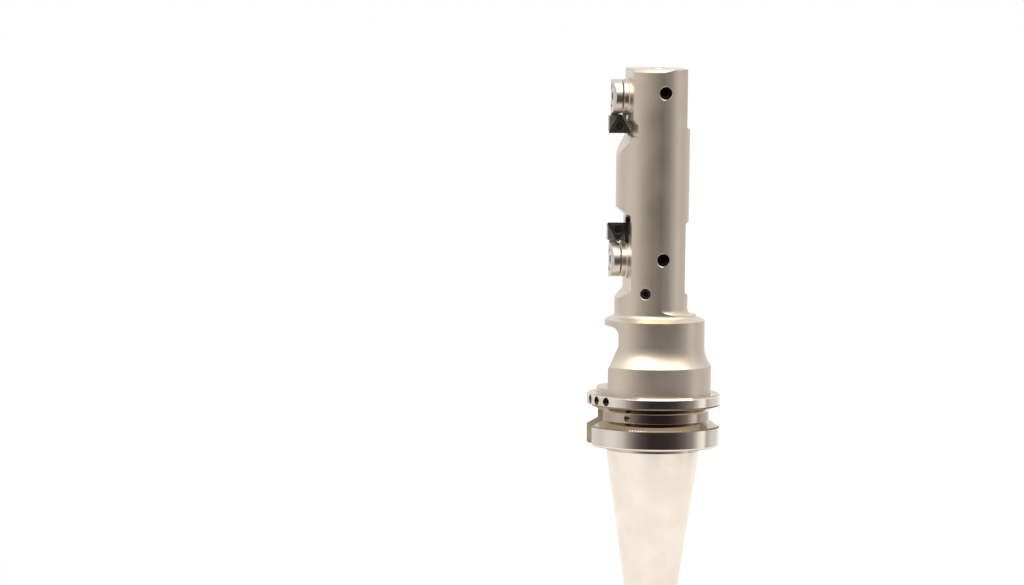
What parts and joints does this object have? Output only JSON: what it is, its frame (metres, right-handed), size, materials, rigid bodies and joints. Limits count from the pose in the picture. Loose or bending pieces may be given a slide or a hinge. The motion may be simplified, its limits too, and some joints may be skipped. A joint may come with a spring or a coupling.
{
  "type": "boring bar",
  "caption": "Twin boring bar on a 7/24 taper shank with gripper flange; two dial-adjusted slides carry three-cornered inserts on one side of the bar.",
  "frame": {"origin": "centre of the taper's small end, on the tool axis", "axes": "+Z along the tool axis to its nose, -X towards both cutting edges and one drive slot, -Y the side that the rake faces look to"},
  "size_m": [0.063, 0.063, 0.2454],
  "materials": {
    "nickel_plated_steel": "fine blasted and nickel plated, warm satin; taper and flange ground",
    "ground_steel": "hardened and ground, bright",
    "black_oxide_steel": "black oxide",
    "coated_carbide": "black ceramic coating on sintered carbide",
    "spring_steel": "plain hardened",
    "brass": "turned"
  },
  "bodies": {
    "bar": {"balancing_screws": "black_oxide_steel", "bar_body": "nickel_plated_steel", "grub_screw": "black_oxide_steel", "lower_clamp_pad": "brass", "lower_clamp_screw": "black_oxide_steel", "lower_draw_screw": "black_oxide_steel", "lower_guide_sleeve": "ground_steel", "lower_key_plate": "black_oxide_steel", "lower_key_screw": "black_oxide_steel", "lower_sleeve_plug": "spring_steel", "lower_spring_washer": "spring_steel", "upper_clamp_pad": "brass", "upper_clamp_screw": "black_oxide_steel", "upper_draw_screw": "black_oxide_steel", "upper_guide_sleeve": "ground_steel", "upper_locating_pin": "spring_steel", "upper_sleeve_plug": "spring_steel", "upper_spring_washer": "spring_steel"},
    "upper_slide": {"upper_slide": "ground_steel", "upper_dial_guard": "ground_steel", "upper_insert_holder": "ground_steel", "upper_holder_screws": "black_oxide_steel", "upper_cutting_insert": "coated_carbide", "upper_insert_screw": "black_oxide_steel"},
    "upper_dial": {"upper_dial": "ground_steel", "upper_retaining_ring": "spring_steel"},
    "lower_slide": {"lower_slide": "ground_steel", "lower_dial_guard": "ground_steel", "lower_insert_holder": "ground_steel", "lower_holder_screws": "black_oxide_steel", "lower_cutting_insert": "coated_carbide", "lower_insert_screw": "black_oxide_steel"},
    "lower_dial": {"lower_dial": "ground_steel", "lower_retaining_ring": "spring_steel"}
  },
  "joints": [
    {"name": "upper_dial_turn", "type": "hinge", "parent": "bar", "child": "upper_dial", "pos_m": [-0.0197, 0, 0.2322], "axis": [1, 0, 0], "range_deg": [-362, 506]},
    {"name": "upper_feed", "type": "slide", "parent": "bar", "child": "upper_slide", "axis": [-1, 0, 0], "range_m": [-0.0005, 0.0007]},
    {"name": "lower_dial_turn", "type": "hinge", "parent": "bar", "child": "lower_dial", "pos_m": [-0.0197, 0, 0.1553], "axis": [1, 0, 0], "range_deg": [-362, 506]},
    {"name": "lower_feed", "type": "slide", "parent": "bar", "child": "lower_slide", "axis": [-1, 0, 0], "range_m": [-0.0005, 0.0007]}
  ],
  "couplings": [
    {"joint": "upper_dial_turn", "follows": "upper_feed", "rad_per_m": 12566},
    {"joint": "lower_dial_turn", "follows": "lower_feed", "rad_per_m": 12566}
  ]
}
